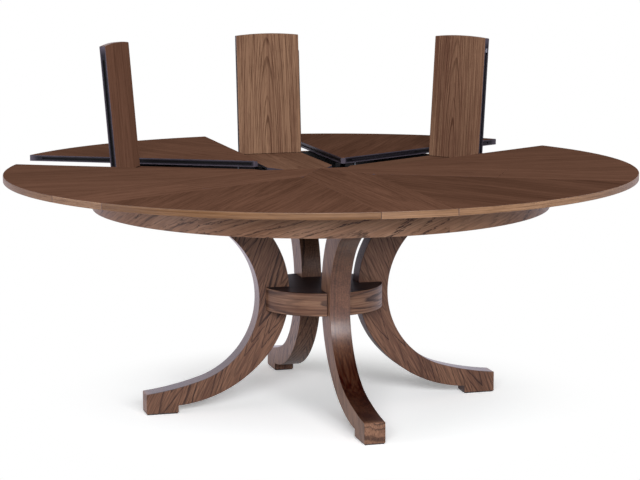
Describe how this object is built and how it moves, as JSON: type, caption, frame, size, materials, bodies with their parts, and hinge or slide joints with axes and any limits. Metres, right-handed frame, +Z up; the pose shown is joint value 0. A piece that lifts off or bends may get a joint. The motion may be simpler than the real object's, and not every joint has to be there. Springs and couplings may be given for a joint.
{
  "type": "expanding round dining table",
  "caption": "Round pedestal dining table with sliding pie segments and self-storing folding leaves between them, on curved legs joined by a collar.",
  "frame": {"origin": "floor point under the middle of the pedestal", "axes": "+Z up, +X along the right leg, -Y along the front leg"},
  "size_m": [2.008, 2.0572, 1.1555],
  "materials": {
    "top_wood": "semi-gloss dark stained oak veneer, radial grain, dark painted edges",
    "leaf_wood": "semi-gloss dark stained oak veneer, lengthwise grain, dark painted edges",
    "apron_wood": "satin dark stained oak, bold wavy grain",
    "leg_wood": "satin dark stained oak, diagonal grain",
    "collar_wood": "satin dark stained oak, level grain",
    "frame_wood": "matt black painted wood",
    "black_steel": "satin black powder coat",
    "brass": "plain brass",
    "catch_steel": "small bright catches",
    "glide": "matt dark glide"
  },
  "bodies": {
    "base": {"apron": "apron_wood", "pedestal_board": "frame_wood", "slide_guides": "frame_wood", "radial_beams": "frame_wood", "arm_brackets": "black_steel", "collar": "collar_wood", "glides": "glide", "leg_front": "leg_wood", "leg_right": "leg_wood", "leg_back": "leg_wood", "leg_left": "leg_wood"},
    "segment_left": {"segment_left": "top_wood", "runner_left": "frame_wood"},
    "segment_front_left": {"segment_front_left": "top_wood", "runner_front_left": "frame_wood"},
    "segment_front_right": {"segment_front_right": "top_wood", "runner_front_right": "frame_wood"},
    "segment_right": {"segment_right": "top_wood", "runner_right": "frame_wood"},
    "segment_back_right": {"segment_back_right": "top_wood", "runner_back_right": "frame_wood"},
    "segment_back_left": {"segment_back_left": "top_wood", "runner_back_left": "frame_wood"},
    "arm_rear_front": {"swing_arm_rear_front": "black_steel"},
    "arm_front_front": {"swing_arm_front_front": "black_steel"},
    "leaf_inner_front": {"leaf_inner_front": "leaf_wood", "leaf_hanger_front": "black_steel"},
    "leaf_outer_front": {"leaf_outer_front": "leaf_wood", "fold_hinge_front": "brass"},
    "arm_rear_front_right": {"swing_arm_rear_front_right": "black_steel"},
    "arm_front_front_right": {"swing_arm_front_front_right": "black_steel"},
    "leaf_inner_front_right": {"leaf_inner_front_right": "leaf_wood", "leaf_hanger_front_right": "black_steel"},
    "leaf_outer_front_right": {"leaf_outer_front_right": "leaf_wood", "fold_hinge_front_right": "brass"},
    "arm_rear_back_right": {"swing_arm_rear_back_right": "black_steel"},
    "arm_front_back_right": {"swing_arm_front_back_right": "black_steel"},
    "leaf_inner_back_right": {"leaf_inner_back_right": "leaf_wood", "leaf_hanger_back_right": "black_steel"},
    "leaf_outer_back_right": {"leaf_outer_back_right": "leaf_wood", "fold_hinge_back_right": "brass"},
    "arm_rear_back": {"swing_arm_rear_back": "black_steel"},
    "arm_front_back": {"swing_arm_front_back": "black_steel"},
    "leaf_inner_back": {"leaf_inner_back": "leaf_wood", "leaf_hanger_back": "black_steel"},
    "leaf_outer_back": {"leaf_outer_back": "leaf_wood", "fold_hinge_back": "brass"},
    "arm_rear_back_left": {"swing_arm_rear_back_left": "black_steel"},
    "arm_front_back_left": {"swing_arm_front_back_left": "black_steel"},
    "leaf_inner_back_left": {"leaf_inner_back_left": "leaf_wood", "leaf_hanger_back_left": "black_steel"},
    "leaf_outer_back_left": {"leaf_outer_back_left": "leaf_wood", "fold_hinge_back_left": "brass"},
    "arm_rear_front_left": {"swing_arm_rear_front_left": "black_steel"},
    "arm_front_front_left": {"swing_arm_front_front_left": "black_steel"},
    "leaf_inner_front_left": {"leaf_inner_front_left": "leaf_wood", "leaf_hanger_front_left": "black_steel"},
    "leaf_outer_front_left": {"leaf_outer_front_left": "leaf_wood", "fold_hinge_front_left": "brass"}
  },
  "joints": [
    {"name": "segment_left_slide", "type": "slide", "parent": "base", "child": "segment_left", "axis": [-1, 0, 0], "range_m": [0, 0.064]},
    {"name": "segment_front_left_slide", "type": "slide", "parent": "base", "child": "segment_front_left", "axis": [-0.5, -0.866, 0], "range_m": [0, 0.064]},
    {"name": "segment_front_right_slide", "type": "slide", "parent": "base", "child": "segment_front_right", "axis": [0.5, -0.866, 0], "range_m": [0, 0.064]},
    {"name": "segment_right_slide", "type": "slide", "parent": "base", "child": "segment_right", "axis": [1, 0, 0], "range_m": [0, 0.064]},
    {"name": "segment_back_right_slide", "type": "slide", "parent": "base", "child": "segment_back_right", "axis": [0.5, 0.866, 0], "range_m": [-0.064, 0]},
    {"name": "segment_back_left_slide", "type": "slide", "parent": "base", "child": "segment_back_left", "axis": [-0.5, 0.866, 0], "range_m": [-0.064, 0]},
    {"name": "leaf_front_fold", "type": "hinge", "parent": "leaf_inner_front", "child": "leaf_outer_front", "pos_m": [0, -0.586, 0.7625], "axis": [-1, 0, 0], "range_deg": [0, 180]},
    {"name": "arm_rear_front_swing", "type": "hinge", "parent": "base", "child": "arm_rear_front", "pos_m": [0, -0.19, 0.635], "axis": [1, 0, 0], "range_deg": [-0.01, 88.01]},
    {"name": "arm_front_front_swing", "type": "hinge", "parent": "base", "child": "arm_front_front", "pos_m": [0, -0.37, 0.635], "axis": [1, 0, 0], "range_deg": [-0.01, 88.01]},
    {"name": "leaf_front_level", "type": "hinge", "parent": "arm_rear_front", "child": "leaf_inner_front", "pos_m": [0, -0.19, 0.728], "axis": [1, 0, 0], "range_deg": [-88.01, 0.01]},
    {"name": "leaf_front_right_fold", "type": "hinge", "parent": "leaf_inner_front_right", "child": "leaf_outer_front_right", "pos_m": [0.50749, -0.293, 0.7625], "axis": [-0.5, -0.866, 0], "range_deg": [0, 180]},
    {"name": "arm_rear_front_right_swing", "type": "hinge", "parent": "base", "child": "arm_rear_front_right", "pos_m": [0.16454, -0.095, 0.635], "axis": [0.5, 0.866, 0], "range_deg": [-0.01, 88.01]},
    {"name": "arm_front_front_right_swing", "type": "hinge", "parent": "base", "child": "arm_front_front_right", "pos_m": [0.32043, -0.185, 0.635], "axis": [0.5, 0.866, 0], "range_deg": [-0.01, 88.01]},
    {"name": "leaf_front_right_level", "type": "hinge", "parent": "arm_rear_front_right", "child": "leaf_inner_front_right", "pos_m": [0.16454, -0.095, 0.728], "axis": [0.5, 0.866, 0], "range_deg": [-88.01, 0.01]},
    {"name": "leaf_back_right_fold", "type": "hinge", "parent": "leaf_inner_back_right", "child": "leaf_outer_back_right", "pos_m": [0.56117, 0.32399, 0.73883], "axis": [0.5, -0.866, 0], "range_deg": [-85.5, 94.5]},
    {"name": "arm_rear_back_right_swing", "type": "hinge", "parent": "base", "child": "arm_rear_back_right", "pos_m": [0.16454, 0.095, 0.635], "axis": [-0.5, 0.866, 0], "range_deg": [-41.81, 46.21]},
    {"name": "arm_front_back_right_swing", "type": "hinge", "parent": "base", "child": "arm_front_back_right", "pos_m": [0.32043, 0.185, 0.635], "axis": [-0.5, 0.866, 0], "range_deg": [-41.81, 46.21]},
    {"name": "leaf_back_right_level", "type": "hinge", "parent": "arm_rear_back_right", "child": "leaf_inner_back_right", "pos_m": [0.21823, 0.12599, 0.70433], "axis": [-0.5, 0.866, 0], "range_deg": [-46.21, 41.81]},
    {"name": "leaf_back_fold", "type": "hinge", "parent": "leaf_inner_back", "child": "leaf_outer_back", "pos_m": [0, 0.64799, 0.73883], "axis": [1, 0, 0], "range_deg": [-85.5, 94.5]},
    {"name": "arm_rear_back_swing", "type": "hinge", "parent": "base", "child": "arm_rear_back", "pos_m": [0, 0.19, 0.635], "axis": [-1, 0, 0], "range_deg": [-41.81, 46.21]},
    {"name": "arm_front_back_swing", "type": "hinge", "parent": "base", "child": "arm_front_back", "pos_m": [0, 0.37, 0.635], "axis": [-1, 0, 0], "range_deg": [-41.81, 46.21]},
    {"name": "leaf_back_level", "type": "hinge", "parent": "arm_rear_back", "child": "leaf_inner_back", "pos_m": [0, 0.25199, 0.70433], "axis": [-1, 0, 0], "range_deg": [-46.21, 41.81]},
    {"name": "leaf_back_left_fold", "type": "hinge", "parent": "leaf_inner_back_left", "child": "leaf_outer_back_left", "pos_m": [-0.56117, 0.32399, 0.73883], "axis": [0.5, 0.866, 0], "range_deg": [-85.5, 94.5]},
    {"name": "arm_rear_back_left_swing", "type": "hinge", "parent": "base", "child": "arm_rear_back_left", "pos_m": [-0.16454, 0.095, 0.635], "axis": [-0.5, -0.866, 0], "range_deg": [-41.81, 46.21]},
    {"name": "arm_front_back_left_swing", "type": "hinge", "parent": "base", "child": "arm_front_back_left", "pos_m": [-0.32043, 0.185, 0.635], "axis": [-0.5, -0.866, 0], "range_deg": [-41.81, 46.21]},
    {"name": "leaf_back_left_level", "type": "hinge", "parent": "arm_rear_back_left", "child": "leaf_inner_back_left", "pos_m": [-0.21823, 0.12599, 0.70433], "axis": [-0.5, -0.866, 0], "range_deg": [-46.21, 41.81]},
    {"name": "leaf_front_left_fold", "type": "hinge", "parent": "leaf_inner_front_left", "child": "leaf_outer_front_left", "pos_m": [-0.50749, -0.293, 0.7625], "axis": [-0.5, 0.866, 0], "range_deg": [0, 180]},
    {"name": "arm_rear_front_left_swing", "type": "hinge", "parent": "base", "child": "arm_rear_front_left", "pos_m": [-0.16454, -0.095, 0.635], "axis": [0.5, -0.866, 0], "range_deg": [-0.01, 88.01]},
    {"name": "arm_front_front_left_swing", "type": "hinge", "parent": "base", "child": "arm_front_front_left", "pos_m": [-0.32043, -0.185, 0.635], "axis": [0.5, -0.866, 0], "range_deg": [-0.01, 88.01]},
    {"name": "leaf_front_left_level", "type": "hinge", "parent": "arm_rear_front_left", "child": "leaf_inner_front_left", "pos_m": [-0.16454, -0.095, 0.728], "axis": [0.5, -0.866, 0], "range_deg": [-88.01, 0.01]}
  ],
  "couplings": [
    {"joint": "arm_rear_front_swing", "follows": "leaf_front_fold", "ratio": 0.48889},
    {"joint": "arm_front_front_swing", "follows": "leaf_front_fold", "ratio": 0.48889},
    {"joint": "leaf_front_level", "follows": "leaf_front_fold", "ratio": -0.48889},
    {"joint": "arm_rear_front_right_swing", "follows": "leaf_front_right_fold", "ratio": 0.48889},
    {"joint": "arm_front_front_right_swing", "follows": "leaf_front_right_fold", "ratio": 0.48889},
    {"joint": "leaf_front_right_level", "follows": "leaf_front_right_fold", "ratio": -0.48889},
    {"joint": "arm_rear_back_right_swing", "follows": "leaf_back_right_fold", "ratio": 0.48889},
    {"joint": "arm_front_back_right_swing", "follows": "leaf_back_right_fold", "ratio": 0.48889},
    {"joint": "leaf_back_right_level", "follows": "leaf_back_right_fold", "ratio": -0.48889},
    {"joint": "arm_rear_back_swing", "follows": "leaf_back_fold", "ratio": 0.48889},
    {"joint": "arm_front_back_swing", "follows": "leaf_back_fold", "ratio": 0.48889},
    {"joint": "leaf_back_level", "follows": "leaf_back_fold", "ratio": -0.48889},
    {"joint": "arm_rear_back_left_swing", "follows": "leaf_back_left_fold", "ratio": 0.48889},
    {"joint": "arm_front_back_left_swing", "follows": "leaf_back_left_fold", "ratio": 0.48889},
    {"joint": "leaf_back_left_level", "follows": "leaf_back_left_fold", "ratio": -0.48889},
    {"joint": "arm_rear_front_left_swing", "follows": "leaf_front_left_fold", "ratio": 0.48889},
    {"joint": "arm_front_front_left_swing", "follows": "leaf_front_left_fold", "ratio": 0.48889},
    {"joint": "leaf_front_left_level", "follows": "leaf_front_left_fold", "ratio": -0.48889}
  ]
}
